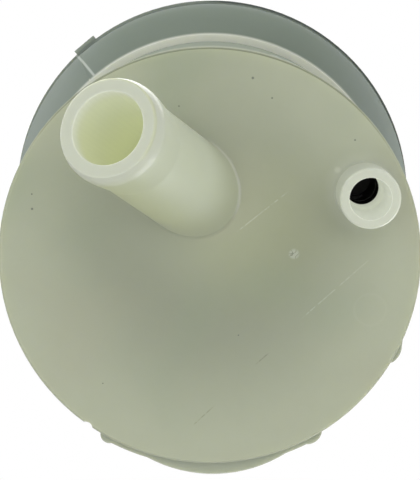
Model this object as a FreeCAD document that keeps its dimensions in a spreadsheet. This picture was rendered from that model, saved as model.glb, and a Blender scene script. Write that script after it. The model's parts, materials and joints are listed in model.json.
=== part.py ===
import FreeCAD, Part
import math
import os
import Sketcher
from FreeCAD import Placement, Rotation, Vector

# Power steering reservoir. Millimetres and degrees, +Z up towards the cap, -Y to the front of the tank
# and +Y to its bracket. The origin is on the tank's axis, in the outer face of the base disc, so both
# spigots point down below it.

doc = FreeCAD.newDocument("Reservoir")
sheet = doc.addObject("Spreadsheet::Sheet", "Sizes")

driving_sizes = {
    # base disc and side wall
    "rim_radius": 40.0,
    "rim_bevel": 0.45,
    "rim_bevel_rise": 0.35,
    "rim_lip_rise": 3.0,
    "rim_lip_step": 0.2,
    "wall": 2.5,
    "floor": 2.5,
    "ledge_rise": 57.6,
    "ledge_reach": 1.5,
    "flare_bend": 64.0,
    "barrel_radius": 48.2,
    # weld seam between the halves
    "seam_rise": 91.2,
    "flange_reach": 0.9,
    "flange_thick": 2.0,
    "seam_ridge": 0.12,
    "seam_ridge_turn": 0.5,
    "seam_azimuth": 228.5,
    "lug_reach": 0.9,
    "lug_width": 6.0,
    "lug_azimuth": 230.5,
    # suction spigot, inclined, with a hose bead
    "suction_across": -4.0,
    "suction_back": -14.12,
    "suction_lean": 30.0,
    "suction_azimuth": 227.3,
    "suction_length": 37.0,
    "suction_inside": 10.0,
    "suction_root_radius": 8.95,
    "suction_radius": 8.5,
    "suction_bore_radius": 6.3,
    "suction_root_fillet": 0.6,
    "bead_radius": 9.17,
    "bead_start": 26.0,
    "bead_shoulder": 31.5,
    "bead_shoulder_radius": 9.0,
    "bead_top": 34.2,
    "mouth_radius": 8.6,
    "mouth_round": 0.3,
    # return spigot, straight down, with the riser inside the tank
    "return_across": 29.12,
    "return_back": -13.11,
    "return_radius": 5.52,
    "return_length": 10.3,
    "return_bore_radius": 3.2,
    "return_mouth_radius": 3.85,
    "return_taper_rise": 6.0,
    "return_edge": 0.3,
    "return_fillet": 0.5,
    "riser_radius": 4.4,
    "riser_rise": 10.0,
    # bracket pad, guide ribs and key rib on the rear wall
    "pad_azimuth": 88.0,
    "pad_reach": 42.6,
    "pad_bend": 26.0,
    "pad_end": 50.0,
    "band_radius": 41.1,
    "band_start": 1.5,
    "guide_azimuth": 29.3,
    "guide_reach": 41.5,
    "guide_round_right": 2.9,
    "guide_round_left": 1.8,
    "key_azimuth": 30.9,
    "key_turn": 10.0,
    "key_crown": 5.1,
    "key_steep": 1.2,
    "key_reach": 40.6,
    "key_round": 3.9,
    "nick_radius": 1.2,
    "nick_offset": 0.6,
    "nick_azimuth": 126.0,
    # shoulder and filler neck
    "barrel_rise": 6.8,
    "shoulder_bend": 14.0,
    "neck_radius": 24.0,
    "neck_wall": 3.0,
    "neck_foot": 2.5,
    "neck_length": 13.5,
    "shelf_depth": 6.4,
    "shelf_width": 1.6,
    # screw thread of neck and cap
    "thread_pitch": 4.0,
    "thread_turns": 1.5,
    "thread_depth": 1.1,
    "thread_root": 2.0,
    "thread_crest": 0.9,
    "thread_start": 4.0,
    # filter base and its seals
    "support_ribs": 5,
    "support_length": 6.3,
    "support_width": 1.6,
    "support_azimuth": 12.0,
    "base_rise": 8.0,
    "base_thick": 2.0,
    "base_gap": 0.3,
    "base_rim_wide": 2.2,
    "base_rim_rise": 4.4,
    "seal_wire": 0.75,
    "seal_wall": 0.7,
    "seal_play": 0.02,
    "port_radius": 10.0,
    "port_lip": 1.4,
    "port_lip_rise": 4.0,
    "hood_wall": 1.6,
    "hood_play": 0.1,
    "hood_skirt": 2.6,
    "hood_rise": 12.0,
    "hood_window_rise": 6.0,
    "hood_window_wide": 7.0,
    "washer_thick": 1.0,
    # filter cage, mesh and cover
    "cage_radius": 21.0,
    "cage_bar": 1.6,
    "cage_bars": 8,
    "cage_bar_wide": 2.4,
    "cage_ring": 2.0,
    "cage_flange": 1.4,
    "fit_play": 0.1,
    "mesh_thick": 0.4,
    "cover_thick": 2.0,
    "cover_lip": 2.5,
    "cover_lip_wide": 1.4,
    "hub_radius": 3.2,
    "hub_rise": 1.0,
    "cover_ports": 6,
    "cover_port_radius": 1.6,
    "cover_port_circle": 6.6,
    "seat_radius": 9.2,
    "seat_wide": 0.8,
    "seat_rise": 0.4,
    # bypass valve
    "stem_radius": 1.55,
    "stem_play": 0.06,
    "valve_radius": 10.0,
    "valve_thick": 1.2,
    "bypass_spring_radius": 4.2,
    "bypass_wire": 0.4,
    "bypass_spring_length": 8.0,
    "bypass_turns": 4.0,
    "retainer_radius": 5.0,
    "retainer_thick": 1.2,
    "stem_end": 0.8,
    # baffle plate
    "baffle_thick": 2.0,
    "baffle_holes": 8,
    "baffle_hole_radius": 5.0,
    "baffle_hole_circle": 28.0,
    "baffle_centre_radius": 9.0,
    "baffle_legs": 4,
    "baffle_leg_wide": 3.0,
    "baffle_leg_circle": 17.0,
    "baffle_leg_length": 12.1,
    # strainer basket
    "strainer_flange": 1.4,
    "strainer_play": 0.3,
    "strainer_wall": 1.2,
    "strainer_depth": 24.0,
    "strainer_windows": 6,
    "strainer_window_wide": 12.0,
    "strainer_window_tall": 17.0,
    "strainer_window_foot": 2.0,
    "strainer_floor": 1.6,
    "strainer_hole_radius": 7.0,
    "strainer_mesh_thick": 0.3,
    # cap
    "gasket_thick": 1.5,
    "gasket_wide": 3.0,
    "insert_play": 1.6,
    "insert_wall": 1.6,
    "insert_web": 2.0,
    "insert_skirt": 12.5,
    "collar_radius": 24.0,
    "collar_wall": 2.0,
    "collar_rise": 8.0,
    "collar_notches": 4,
    "collar_notch_wide": 3.0,
    "collar_notch_tall": 1.2,
    "cap_play": 0.3,
    "cap_wall": 2.5,
    "cap_hang": 14.0,
    "cap_top": 2.5,
    "cap_round": 2.0,
    "cap_ribs": 30,
    "cap_rib_radius": 0.9,
    "cap_rib_margin": 2.5,
    "cap_dish_radius": 20.0,
    "cap_dish_depth": 0.8,
    # vent in the cap
    "vent_radius": 3.0,
    "vent_seat_radius": 4.2,
    "vent_seat_wide": 0.8,
    "vent_seat_rise": 0.4,
    "vent_disc_radius": 5.2,
    "vent_disc_thick": 0.8,
    "vent_seal_thick": 0.8,
    "vent_vane_thick": 1.0,
    "vent_vane_play": 0.1,
    "vent_vane_length": 3.0,
    "vent_spring_radius": 3.4,
    "vent_wire": 0.35,
    "vent_turns": 4.0,
    # dipstick
    "boss_radius": 6.2,
    "boss_length": 5.5,
    "head_radius": 4.6,
    "head_play": 0.05,
    "head_wall": 1.5,
    "head_length": 9.5,
    "head_floor": 2.0,
    "blade_wide": 8.0,
    "blade_thick": 1.8,
    "blade_gap": 6.0,
    "blade_tip": 4.0,
    "level_notch": 1.2,
    "level_low": 8.0,
    "level_high": 22.0,
}


class Size:
    # A value together with the formula that ties it to the sheet.
    def __init__(self, value, formula):
        self.value = float(value)
        self.formula = formula

    def __add__(self, other):
        other = size_of(other)
        return Size(self.value + other.value, f"({self.formula} + {other.formula})")

    def __sub__(self, other):
        other = size_of(other)
        return Size(self.value - other.value, f"({self.formula} - {other.formula})")

    def __mul__(self, other):
        other = size_of(other)
        return Size(self.value * other.value, f"({self.formula} * {other.formula})")

    def __truediv__(self, other):
        other = size_of(other)
        return Size(self.value / other.value, f"({self.formula} / {other.formula})")

    def __neg__(self):
        return Size(-self.value, f"(0 - {self.formula})")


def size_of(number):
    return number if isinstance(number, Size) else Size(number, str(number))


class Sizes:
    # Every driving size as an attribute, each one bound to its cell.
    pass


def fill_sheet():
    sizes = Sizes()
    for row, (alias, value) in enumerate(driving_sizes.items(), start=1):
        sheet.set(f"A{row}", alias)
        sheet.set(f"B{row}", str(value))
        sheet.setAlias(f"B{row}", alias)
        setattr(sizes, alias, Size(value, f"Sizes.{alias}"))
    doc.recompute()
    return sizes


def bind(item, **properties):
    for name, size in properties.items():
        item.setExpression(name, size_of(size).formula)
    return item


def at(item, across=0, back=0, rise=0, rotation=Rotation()):
    where = Vector(size_of(across).value, size_of(back).value, size_of(rise).value)
    item.Placement = Placement(where, rotation)
    for axis, size in zip("xyz", (across, back, rise)):
        item.setExpression(f"Placement.Base.{axis}", size_of(size).formula)
    return item


def around(item, radius, azimuth, rise):
    # Puts an item on a circle about the tank's axis, turned to face outwards.
    turn = Rotation(Vector(0, 0, 1), azimuth)
    where = turn.multVec(Vector(size_of(radius).value, 0, size_of(rise).value))
    item.Placement = Placement(where, turn)
    return item


def cylinder(name, radius, height):
    return bind(doc.addObject("Part::Cylinder", name), Radius=radius, Height=height)


def box(name, length, width, height):
    return bind(doc.addObject("Part::Box", name), Length=length, Width=width, Height=height)


def spoke(name, inner, outer, width, height, azimuth, rise):
    # A radial bar, centred across its azimuth.
    bar = box(name, size_of(outer) - inner, width, height)
    turn = Rotation(Vector(0, 0, 1), azimuth)
    corner = Vector(size_of(inner).value, -size_of(width).value / 2, size_of(rise).value)
    bar.Placement = Placement(turn.multVec(corner), turn)
    return bar


def fused(name, pieces):
    item = doc.addObject("Part::MultiFuse", name)
    item.Shapes = pieces
    item.Refine = False
    return item


def cut(name, base, tools):
    item = doc.addObject("Part::Cut", name)
    item.Base = base
    item.Tool = tools[0] if len(tools) == 1 else fused(f"{name}_tools", tools)
    item.Refine = False
    return item


def common(name, first, second):
    item = doc.addObject("Part::Common", name)
    item.Base = first
    item.Tool = second
    return item


def ring(name, outer, inner, height, rise):
    # A flat ring or a tube about the axis.
    body = at(cylinder(f"{name}_outside", outer, height), rise=rise)
    hole = at(cylinder(f"{name}_hole", inner, height), rise=rise)
    return cut(name, body, [hole])


def arc_between(start, end, radius, side):
    # The short arc from start to end, with its centre to the left (side 1) or right (side -1) of the way.
    chord = end - start
    left = Vector(-chord.y, chord.x, 0)
    left.normalize()
    rise = math.sqrt(radius ** 2 - (chord.Length / 2) ** 2)
    centre = start + chord * 0.5 + left * (rise * side)
    first, last = (start, end) if side > 0 else (end, start)
    angles = [math.atan2(p.y - centre.y, p.x - centre.x) for p in (first, last)]
    return Part.ArcOfCircle(Part.Circle(centre, Vector(0, 0, 1), radius), angles[0], angles[1])


def draw(sketch, outline):
    # A closed outline. Each point is (across, up), or (across, up, radius, side) where an arc leads to it.
    points = [Vector(size_of(p[0]).value, size_of(p[1]).value, 0) for p in outline]
    count = len(outline)
    ends = []
    for index in range(count):
        target = outline[(index + 1) % count]
        start, end = points[index], points[(index + 1) % count]
        if len(target) == 2:
            sketch.addGeometry(Part.LineSegment(start, end))
            ends.append((1, 2))
        else:
            sketch.addGeometry(arc_between(start, end, size_of(target[2]).value, target[3]))
            ends.append((1, 2) if target[3] > 0 else (2, 1))
    for index in range(count):
        following = (index + 1) % count
        sketch.addConstraint(Sketcher.Constraint(
            "Coincident", index, ends[index][1], following, ends[following][0]))
    for index, point in enumerate(outline):
        corner = ends[index][0]
        for kind, size, axis in (("DistanceX", point[0], -2), ("DistanceY", point[1], -1)):
            size = size_of(size)
            if size.formula == "0":
                sketch.addConstraint(Sketcher.Constraint("PointOnObject", index, corner, axis))
                continue
            number = sketch.addConstraint(
                Sketcher.Constraint(kind, -1, 1, index, corner, size.value))
            sketch.setExpression(f"Constraints[{number}]", size.formula)
        if len(point) > 2:
            before = (index - 1) % count
            number = sketch.addConstraint(
                Sketcher.Constraint("Radius", before, size_of(point[2]).value))
            sketch.setExpression(f"Constraints[{number}]", size_of(point[2]).formula)


def sketched_body(name, plane_role, outline):
    body = doc.addObject("PartDesign::Body", name)
    sketch = body.newObject("Sketcher::SketchObject", f"{name}_outline")
    plane = [item for item in body.Origin.OriginFeatures if item.Role == plane_role][0]
    sketch.AttachmentSupport = [(plane, "")]
    sketch.MapMode = "FlatFace"
    draw(sketch, outline)
    return body, sketch


def turned(name, outline, turn=None):
    # A body of revolution about Z from an outline of (radius, rise) points.
    body, sketch = sketched_body(name, "XZ_Plane", outline)
    feature = body.newObject("PartDesign::Revolution", f"{name}_turn")
    feature.Profile = sketch
    feature.ReferenceAxis = (sketch, ["V_Axis"])
    if turn is None:
        feature.Angle = 360
    else:
        feature.Midplane = True
        bind(feature, Angle=turn)
    return body


def padded(name, outline, length, plane_role="XY_Plane", middle=False):
    body, sketch = sketched_body(name, plane_role, outline)
    feature = body.newObject("PartDesign::Pad", f"{name}_pad")
    feature.Profile = sketch
    feature.Midplane = middle
    bind(feature, Length=length)
    return body


def coil(name, radius, pitch, turns, section, rise):
    # A helical ridge or wire whose section is a list of (radius, rise) points, or the wire's radius.
    helix = bind(doc.addObject("Part::Helix", f"{name}_path"), Radius=radius, Pitch=pitch,
                 Height=size_of(pitch) * turns)
    at(helix, rise=rise)
    upright = Rotation(Vector(1, 0, 0), 90)
    spans = 1
    if isinstance(section, Size):
        # A long wire is followed turn by turn.
        helix.SegmentLength = 1
        spans = math.ceil(turns.value)
        profile = bind(doc.addObject("Part::Circle", f"{name}_section"), Radius=section)
        at(profile, across=radius, rise=rise, rotation=upright)
    else:
        profile = doc.addObject("Sketcher::SketchObject", f"{name}_section")
        at(profile, rise=rise, rotation=upright)
        draw(profile, section)
    sweep = doc.addObject("Part::Sweep", name)
    sweep.Sections = [profile]
    sweep.Spine = (helix, [f"Edge{number + 1}" for number in range(spans)])
    sweep.Solid = True
    sweep.Frenet = True
    return sweep


s = fill_sheet()

# Places that several pieces share.
face_radius = s.rim_radius - s.rim_bevel
wall_radius = s.rim_radius - s.rim_lip_step
inner_radius = wall_radius - s.wall
ledge_radius = wall_radius + s.ledge_reach
inner_ledge_rise = s.ledge_rise + s.wall
flange_radius = s.barrel_radius + s.flange_reach
shoulder_start = s.seam_rise + s.barrel_rise
neck_foot_rise = shoulder_start + s.shoulder_bend + s.neck_foot
neck_rise = neck_foot_rise + s.neck_length
neck_bore = s.neck_radius - s.neck_wall
shelf_rise = neck_rise - s.shelf_depth
shelf_radius = neck_bore - s.shelf_width
plate_radius = inner_radius - s.base_gap
plate_top = s.base_rise + s.base_thick
return_circle = math.hypot(s.return_across.value, s.return_back.value)
return_azimuth = math.degrees(math.atan2(s.return_back.value, s.return_across.value))
cover_top = inner_ledge_rise - s.baffle_leg_length
cage_top = cover_top - s.cover_thick
cage_rise = cage_top - plate_top
web_rise = neck_rise + s.gasket_thick
web_top = web_rise + s.insert_web
insert_bore = s.neck_radius + s.insert_play
insert_radius = insert_bore + s.insert_wall
cap_ceiling = web_top + s.collar_rise
cap_bore = insert_radius + s.cap_play
cap_radius = cap_bore + s.cap_wall
washer_top = s.riser_rise + s.washer_thick
groove_low = washer_top + s.seal_wall
valve_top = cage_top - s.seat_rise
retainer_rise = cover_top + s.bypass_spring_length
stem_top = retainer_rise + s.retainer_thick + s.stem_end
vent_seal_rise = web_top + s.vent_seat_rise
vent_disc_rise = vent_seal_rise + s.vent_seal_thick

# How far a cutting piece runs past the face that it cuts.
past = 1.0


def lean_rotation():
    # Turns +Z to the way the suction spigot points: down, leaning out towards its azimuth.
    lean = math.radians(s.suction_lean.value)
    azimuth = math.radians(s.suction_azimuth.value)
    flat = math.sin(lean)
    way = Vector(flat * math.cos(azimuth), flat * math.sin(azimuth), -math.cos(lean))
    return Rotation(Vector(0, 0, 1), way)


def crown(half, rise):
    # Radius of the arc that reaches its top after half and drops by rise there.
    return (half * half + rise * rise) / (rise * 2)


def suction_solids():
    # The inclined spigot's outside with its hose bead, and the tool that bores it.
    bead_end = s.suction_length - s.mouth_round
    bead_swell = crown(s.bead_top - s.bead_shoulder, s.bead_radius - s.bead_shoulder_radius)
    outside = turned("suction_outside", [
        (0, -s.suction_inside),
        (s.suction_root_radius, -s.suction_inside),
        (s.suction_root_radius, 0),
        (s.suction_radius, s.bead_start),
        (s.bead_shoulder_radius, s.bead_shoulder),
        (s.bead_radius, s.bead_top, bead_swell, 1),
        (s.mouth_radius, bead_end, crown(bead_end - s.bead_top, s.bead_radius - s.mouth_radius), 1),
        (s.mouth_radius - s.mouth_round, s.suction_length, s.mouth_round, 1),
        (0, s.suction_length),
    ])
    at(outside, s.suction_across, s.suction_back, 0, lean_rotation())
    reach = s.suction_length + s.rim_radius
    above = at(box("suction_trim", reach * 2, reach * 2, reach), -reach, -reach, s.floor / 2)
    spigot = cut("suction_spigot", outside, [above])
    bore = turned("suction_bore", [
        (0, -s.suction_inside - s.floor),
        (s.suction_bore_radius, -s.suction_inside - s.floor),
        (s.suction_bore_radius, s.suction_length - s.mouth_round),
        (s.suction_bore_radius + s.mouth_round, s.suction_length, s.mouth_round, -1),
        (s.suction_bore_radius + s.mouth_round, s.suction_length + past),
        (0, s.suction_length + past),
    ])
    at(bore, s.suction_across, s.suction_back, 0, lean_rotation())
    return spigot, bore


def root_fillet(block):
    # Rounds the curved edge where the inclined spigot leaves the flat face of the disc.
    doc.recompute()
    rounded = doc.addObject("Part::Fillet", "suction_root")
    rounded.Base = block
    size = s.suction_root_fillet.value
    edges = []
    for number, edge in enumerate(block.Shape.Edges, start=1):
        flat = edge.BoundBox.ZLength < s.rim_lip_step.value
        inside = edge.BoundBox.DiagonalLength < s.rim_radius.value and abs(edge.BoundBox.ZMin) < size
        if flat and inside:
            edges.append((number, size, size))
    rounded.Edges = edges
    return rounded


def return_solids():
    # The straight return spigot, its riser inside the tank and the tool that bores both.
    foot = s.return_radius + s.return_fillet
    outside = turned("return_spigot", [
        (0, s.floor / 2),
        (foot, s.floor / 2),
        (foot, 0),
        (s.return_radius, -s.return_fillet, s.return_fillet, 1),
        (s.return_radius, -s.return_length + s.return_edge),
        (s.return_radius - s.return_edge, -s.return_length),
        (0, -s.return_length),
    ])
    at(outside, s.return_across, s.return_back)
    riser = cylinder("return_riser", s.riser_radius, s.riser_rise - s.floor / 2)
    at(riser, s.return_across, s.return_back, s.floor / 2)
    bore = turned("return_bore", [
        (0, -s.return_length - past),
        (s.return_mouth_radius, -s.return_length - past),
        (s.return_mouth_radius, -s.return_length),
        (s.return_bore_radius, s.return_taper_rise),
        (s.return_bore_radius, s.riser_rise + past),
        (0, s.riser_rise + past),
    ])
    at(bore, s.return_across, s.return_back)
    return [outside, riser], bore


def polar(radius, azimuth):
    return (radius * math.cos(math.radians(azimuth)), radius * math.sin(math.radians(azimuth)))


def bracket_solids():
    # The rounded pad on the rear wall, the band under it, two guide ribs and the single key rib.
    core = wall_radius - s.wall / 2
    band_tall = s.pad_end - s.band_start
    core_tool = at(cylinder("bracket_core", core, s.pad_end), 0, 0, 0)
    pad_round = cylinder("pad_round", s.pad_bend, band_tall)
    around(pad_round, s.pad_reach - s.pad_bend, s.pad_azimuth.value, s.band_start)
    half_width = s.band_radius * math.sin(math.radians(s.guide_azimuth.value))
    band_round = at(cylinder("band_round", s.band_radius, band_tall), rise=s.band_start)
    band_window = at(box("band_window", half_width * 2, s.band_radius, band_tall),
                     -half_width, 0, s.band_start)
    band = common("band", band_round, band_window)
    ribs = []
    for side, rounding in ((-1, s.guide_round_right), (1, s.guide_round_left)):
        rib = cylinder(f"guide_rib_{len(ribs) + 1}", rounding, band_tall)
        azimuth = 90 + side * s.guide_azimuth.value
        ribs.append(around(rib, s.guide_reach - rounding, azimuth, s.band_start))
    key_end = s.key_azimuth.value
    key_start = key_end - s.key_turn.value
    crown_end = key_end - s.key_steep.value
    crown_start = crown_end - s.key_crown.value
    key = padded("key_rib", [
        polar(core, key_start),
        polar(wall_radius, key_start),
        polar(s.key_reach, crown_start),
        polar(s.key_reach, crown_end) + (s.key_round, 1),
        polar(wall_radius, key_end),
        polar(core, key_end),
    ], band_tall)
    at(key, rise=s.band_start)
    return [cut("bracket_pad", fused("pad_block", [pad_round, band] + ribs), [core_tool]), key]


def flare_marks():
    # The fine ridges that the split of the mould left on the flare, and the small lug on the flange.
    marks = []
    for number, azimuth in enumerate((s.seam_azimuth.value, s.seam_azimuth.value - 180), start=1):
        ridge = turned(f"seam_ridge_{number}", [
            (ledge_radius - s.wall / 2, s.ledge_rise + s.seam_ridge),
            (ledge_radius + s.seam_ridge, s.ledge_rise + s.seam_ridge),
            (s.barrel_radius + s.seam_ridge, s.seam_rise - s.flange_thick, s.flare_bend, 1),
            (s.barrel_radius - s.wall / 2, s.seam_rise - s.flange_thick),
        ], turn=s.seam_ridge_turn)
        around(ridge, 0, azimuth, 0)
        marks.append(ridge)
    marks.append(spoke("flange_lug", s.barrel_radius - s.wall / 2, flange_radius + s.lug_reach,
                       s.lug_width, s.flange_thick, s.lug_azimuth.value, s.seam_rise - s.flange_thick))
    return marks


def lower_shell():
    shell = turned("lower_wall", [
        (0, 0),
        (face_radius, 0),
        (s.rim_radius, s.rim_bevel_rise),
        (s.rim_radius, s.rim_lip_rise),
        (wall_radius, s.rim_lip_rise + s.rim_lip_step),
        (wall_radius, s.ledge_rise),
        (ledge_radius, s.ledge_rise + s.seam_ridge),
        (s.barrel_radius, s.seam_rise - s.flange_thick, s.flare_bend, 1),
        (flange_radius, s.seam_rise - s.flange_thick),
        (flange_radius, s.seam_rise),
        (s.barrel_radius - s.wall, s.seam_rise),
        (s.barrel_radius - s.wall, s.seam_rise - s.flange_thick),
        (ledge_radius - s.wall, inner_ledge_rise, s.flare_bend - s.wall, -1),
        (inner_radius, inner_ledge_rise),
        (inner_radius, s.floor),
        (0, s.floor),
    ])
    suction, suction_bore = suction_solids()
    return_pieces, return_bore = return_solids()
    floor_and_spigot = fused("floor_and_spigot", [shell, suction])
    supports = []
    for number in range(int(s.support_ribs.value)):
        azimuth = s.support_azimuth.value + number * 360 / s.support_ribs.value
        supports.append(spoke(
            f"support_rib_{number + 1}", inner_radius - s.support_length, inner_radius + s.wall / 2,
            s.support_width, s.base_rise - s.floor / 2, azimuth, s.floor / 2))
    body = fused("lower_block", [root_fillet(floor_and_spigot)] + return_pieces + bracket_solids()
                 + flare_marks() + supports)
    nick = cylinder("rim_nick", s.nick_radius, s.rim_lip_rise + past)
    around(nick, s.rim_radius + s.nick_offset, s.nick_azimuth.value, -past)
    return cut("lower_shell", body, [suction_bore, return_bore, nick])


def thread_section(wall, inwards):
    # The ridge's trapezoid from its crest to half a depth inside the wall that carries it.
    half_root = s.thread_root / 2
    half_crest = s.thread_crest / 2
    half_sunk = half_root + (half_root - half_crest) / 2
    sunk = wall + s.thread_depth * (0.5 if inwards else -0.5)
    crest = wall + s.thread_depth * (-1 if inwards else 1)
    return [
        (sunk, -half_sunk),
        (crest, -half_crest),
        (crest, half_crest),
        (sunk, half_sunk),
    ]


def upper_shell():
    bend_radius = s.barrel_radius - s.shoulder_bend
    shoulder_top = shoulder_start + s.shoulder_bend
    inner_bend = s.shoulder_bend - s.wall
    shell = turned("upper_wall", [
        (s.barrel_radius - s.wall, s.seam_rise),
        (flange_radius, s.seam_rise),
        (flange_radius, s.seam_rise + s.flange_thick),
        (s.barrel_radius, s.seam_rise + s.flange_thick),
        (s.barrel_radius, shoulder_start),
        (bend_radius, shoulder_top, s.shoulder_bend, 1),
        (s.neck_radius, neck_foot_rise),
        (s.neck_radius, neck_rise),
        (neck_bore, neck_rise),
        (neck_bore, shelf_rise),
        (shelf_radius, shelf_rise),
        (shelf_radius, neck_foot_rise - s.wall),
        (bend_radius, shoulder_top - s.wall),
        (s.barrel_radius - s.wall, shoulder_start, inner_bend, -1),
    ])
    thread_rise = neck_foot_rise + s.thread_start
    ridge = coil("neck_thread", s.neck_radius, s.thread_pitch, s.thread_turns,
                 thread_section(s.neck_radius, inwards=False), thread_rise)
    return fused("upper_shell", [shell, ridge])


def filter_base():
    # The plate on the support ribs, with the port's lip, the rim's groove and the hood over the riser.
    plate = turned("base_plate", [
        (s.port_radius, s.base_rise),
        (plate_radius, s.base_rise),
        (plate_radius, plate_top + s.base_rim_rise),
        (plate_radius - s.base_rim_wide, plate_top + s.base_rim_rise),
        (plate_radius - s.base_rim_wide, plate_top),
        (s.port_radius + s.port_lip, plate_top),
        (s.port_radius + s.port_lip, plate_top + s.port_lip_rise),
        (s.port_radius, plate_top + s.port_lip_rise),
    ])
    socket = s.riser_radius + s.hood_play
    hood_low = s.base_rise - s.hood_skirt
    hood_top = plate_top + s.hood_rise
    block = cylinder("hood_outside", socket + s.hood_wall, hood_top - hood_low)
    around(block, return_circle, return_azimuth, hood_low)
    limit = at(cylinder("hood_limit", plate_radius, hood_top - hood_low), rise=hood_low)
    hood = common("hood", block, limit)
    hollow = turned("hood_hollow", [
        (0, hood_low),
        (socket, hood_low),
        (socket, washer_top),
        (s.return_bore_radius, washer_top),
        (s.return_bore_radius, hood_top - s.hood_wall),
        (0, hood_top - s.hood_wall),
    ])
    at(hollow, s.return_across, s.return_back)
    window = spoke("hood_window", s.cage_radius + s.cage_flange, return_circle, s.hood_window_wide,
                   s.hood_window_rise, return_azimuth, groove_low)
    groove_floor = inner_radius - s.seal_wire * 2 - s.seal_play * 2
    groove = ring("base_groove", inner_radius, groove_floor, s.seal_wire * 2 + s.seal_play * 2,
                  groove_low)
    return cut("filter_base", fused("base_block", [plate, hood]), [hollow, window, groove])


def return_seal():
    washer = turned("return_seal", [
        (s.return_bore_radius + s.hood_play, s.riser_rise),
        (s.riser_radius, s.riser_rise),
        (s.riser_radius, washer_top),
        (s.return_bore_radius + s.hood_play, washer_top),
    ])
    return at(washer, s.return_across, s.return_back)


def base_seal():
    seal = bind(doc.addObject("Part::Torus", "base_seal"),
                Radius1=inner_radius - s.seal_play - s.seal_wire, Radius2=s.seal_wire)
    return at(seal, rise=groove_low + s.seal_play + s.seal_wire)


def filter_cage():
    inner = s.cage_radius - s.cage_bar
    flange = s.cage_radius + s.cage_flange
    foot = ring("cage_foot", flange, s.port_radius + s.port_lip + s.fit_play, s.cage_ring, plate_top)
    head = ring("cage_head", flange, inner, s.cage_ring, cage_top - s.cage_ring)
    bars = []
    for number in range(int(s.cage_bars.value)):
        azimuth = number * 360 / s.cage_bars.value
        bars.append(spoke(f"cage_bar_{number + 1}", inner + s.fit_play, s.cage_radius - s.fit_play,
                          s.cage_bar_wide, cage_rise, azimuth, plate_top))
    return fused("filter_cage", [foot, head] + bars)


def filter_mesh():
    return ring("filter_mesh", s.cage_radius + s.mesh_thick, s.cage_radius,
                cage_rise - s.cage_ring * 2, plate_top + s.cage_ring)


def filter_cover():
    lip = s.cage_radius - s.cage_bar - s.fit_play
    disc = turned("cover_disc", [
        (s.stem_radius + s.stem_play, cage_top),
        (s.seat_radius - s.seat_wide, cage_top),
        (s.seat_radius - s.seat_wide, cage_top - s.seat_rise),
        (s.seat_radius, cage_top - s.seat_rise),
        (s.seat_radius, cage_top),
        (lip - s.cover_lip_wide, cage_top),
        (lip - s.cover_lip_wide, cage_top - s.cover_lip),
        (lip, cage_top - s.cover_lip),
        (lip, cage_top),
        (s.cage_radius + s.cage_flange, cage_top),
        (s.cage_radius + s.cage_flange, cover_top),
        (s.hub_radius, cover_top),
        (s.hub_radius, cover_top + s.hub_rise),
        (s.stem_radius + s.stem_play, cover_top + s.hub_rise),
    ])
    ports = []
    for number in range(int(s.cover_ports.value)):
        port = cylinder(f"cover_port_{number + 1}", s.cover_port_radius, s.cover_thick + past * 2)
        azimuth = number * 360 / s.cover_ports.value
        ports.append(around(port, s.cover_port_circle, azimuth, cage_top - past))
    return cut("filter_cover", disc, ports)


def bypass_valve():
    return turned("bypass_valve", [
        (0, valve_top - s.valve_thick),
        (s.valve_radius, valve_top - s.valve_thick),
        (s.valve_radius, valve_top),
        (s.stem_radius, valve_top),
        (s.stem_radius, stem_top),
        (0, stem_top),
    ])


def spring(name, radius, wire, turns, foot, length):
    # An open coil between two flat seats.
    coiled = length - wire * 2
    return coil(name, radius, coiled / turns, turns, wire, foot + wire)


def baffle_plate():
    plate_edge = ledge_radius - s.wall - s.strainer_play
    disc = ring("baffle_disc", plate_edge, s.baffle_centre_radius, s.baffle_thick, inner_ledge_rise)
    legs = []
    for number in range(int(s.baffle_legs.value)):
        azimuth = (number + 0.5) * 360 / s.baffle_legs.value
        legs.append(spoke(f"baffle_leg_{number + 1}", s.baffle_leg_circle,
                          s.baffle_leg_circle + s.baffle_leg_wide, s.baffle_leg_wide,
                          s.baffle_leg_length + s.baffle_thick / 2, azimuth, cover_top))
    holes = []
    for number in range(int(s.baffle_holes.value)):
        hole = cylinder(f"baffle_hole_{number + 1}", s.baffle_hole_radius, s.baffle_thick + past * 2)
        azimuth = number * 360 / s.baffle_holes.value
        holes.append(around(hole, s.baffle_hole_circle, azimuth,
                            inner_ledge_rise - past))
    return cut("baffle_plate", fused("baffle_block", [disc] + legs), holes)


def strainer_frame():
    outside = shelf_radius - s.strainer_play
    inside = outside - s.strainer_wall
    bottom = shelf_rise - s.strainer_depth
    basket = turned("strainer_basket", [
        (s.strainer_hole_radius, bottom),
        (outside, bottom),
        (outside, shelf_rise),
        (neck_bore - s.strainer_play, shelf_rise),
        (neck_bore - s.strainer_play, shelf_rise + s.strainer_flange),
        (inside, shelf_rise + s.strainer_flange),
        (inside, bottom + s.strainer_floor),
        (s.strainer_hole_radius, bottom + s.strainer_floor),
    ])
    windows = []
    for number in range(int(s.strainer_windows.value)):
        azimuth = number * 360 / s.strainer_windows.value
        windows.append(spoke(f"strainer_window_{number + 1}", inside - past, outside + past,
                             s.strainer_window_wide, s.strainer_window_tall, azimuth,
                             bottom + s.strainer_floor + s.strainer_window_foot))
    return cut("strainer_frame", basket, windows)


def strainer_mesh():
    outside = shelf_radius - s.strainer_play - s.strainer_wall - s.fit_play
    floor_rise = shelf_rise - s.strainer_depth + s.strainer_floor
    return ring("strainer_mesh", outside, outside - s.strainer_mesh_thick,
                s.strainer_window_tall + s.strainer_window_foot * 2, floor_rise)


def cap_gasket():
    inner = neck_bore
    return ring("cap_gasket", inner + s.gasket_wide, inner, s.gasket_thick, neck_rise)


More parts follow.
